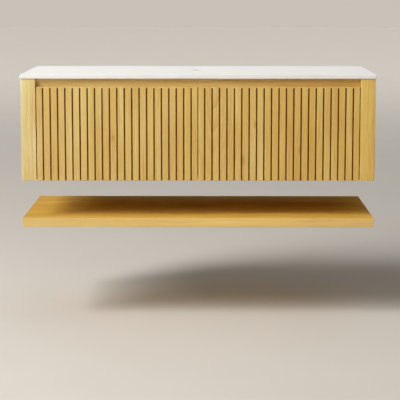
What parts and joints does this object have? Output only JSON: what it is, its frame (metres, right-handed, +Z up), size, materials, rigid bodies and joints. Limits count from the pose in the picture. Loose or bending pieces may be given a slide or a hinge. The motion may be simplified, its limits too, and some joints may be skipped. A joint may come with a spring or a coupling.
{
  "type": "wall-hung vanity unit",
  "caption": "Wall-hung oak vanity cabinet with vertically grooved drawer fronts, a thin white worktop and a separate matching floating shelf below.",
  "frame": {"origin": "middle of the hanging rail's face against the wall, on the line of its fixing slots", "axes": "+X along the cabinet to the right seen from the front, +Y into the wall, +Z up; the drawers open towards -Y"},
  "size_m": [1.205, 0.463, 0.5225],
  "materials": {
    "oak": "satin lacquered oak",
    "plywood": "lacquered birch plywood",
    "beech": "raw beech",
    "worktop": "white honed solid surface",
    "steel": "zinc-plated steel",
    "zinc": "die-cast zinc",
    "clip": "moulded grey plastic",
    "buffer": "soft grey buffer"
  },
  "bodies": {
    "cabinet": {"side_panel_left": "oak", "side_panel_right": "oak", "bottom_panel": "oak", "centre_partition": "oak", "front_band": "oak", "front_stretcher": "plywood", "rear_stretcher": "plywood", "back_rail": "plywood", "worktop": "worktop", "front_buffers": "buffer", "carcass_dowels": "beech", "hanging_rail": "steel", "hanger_housing_left": "zinc", "hanger_housing_right": "zinc", "hanger_hook_left": "steel", "hanger_hook_right": "steel", "hanger_adjusting_screws": "steel", "hanger_fixing_screws": "steel", "runner_cabinet_member_left_outer": "steel", "runner_cabinet_member_left_inner": "steel", "runner_cabinet_member_right_inner": "steel", "runner_cabinet_member_right_outer": "steel", "runner_screws": "steel", "shelf_board": "oak", "shelf_bar": "steel", "shelf_rods": "steel", "shelf_locking_screws": "steel"},
    "runners_left": {"runner_middle_member_left_outer": "steel", "runner_middle_member_left_inner": "steel"},
    "drawer_left": {"drawer_left_front": "oak", "drawer_left_box_front": "plywood", "drawer_left_side_outer": "plywood", "drawer_left_side_inner": "plywood", "drawer_left_back": "plywood", "drawer_left_bottom": "plywood", "drawer_left_dowels": "beech", "drawer_left_front_screws": "steel", "drawer_left_locking_clips": "clip", "runner_drawer_member_left_outer": "steel", "runner_drawer_member_left_inner": "steel"},
    "runners_right": {"runner_middle_member_right_inner": "steel", "runner_middle_member_right_outer": "steel"},
    "drawer_right": {"drawer_right_front": "oak", "drawer_right_box_front": "plywood", "drawer_right_side_outer": "plywood", "drawer_right_side_inner": "plywood", "drawer_right_back": "plywood", "drawer_right_bottom": "plywood", "drawer_right_dowels": "beech", "drawer_right_front_screws": "steel", "drawer_right_locking_clips": "clip", "runner_drawer_member_right_inner": "steel", "runner_drawer_member_right_outer": "steel"}
  },
  "joints": [
    {"name": "drawer_left_slide", "type": "slide", "parent": "cabinet", "child": "drawer_left", "axis": [0, -1, 0], "range_m": [0, 0.35]},
    {"name": "runners_left_slide", "type": "slide", "parent": "cabinet", "child": "runners_left", "axis": [0, -1, 0], "range_m": [0, 0.175]},
    {"name": "drawer_right_slide", "type": "slide", "parent": "cabinet", "child": "drawer_right", "axis": [0, -1, 0], "range_m": [0, 0.35]},
    {"name": "runners_right_slide", "type": "slide", "parent": "cabinet", "child": "runners_right", "axis": [0, -1, 0], "range_m": [0, 0.175]}
  ],
  "couplings": [
    {"joint": "runners_left_slide", "follows": "drawer_left_slide", "ratio": 0.5},
    {"joint": "runners_right_slide", "follows": "drawer_right_slide", "ratio": 0.5}
  ]
}
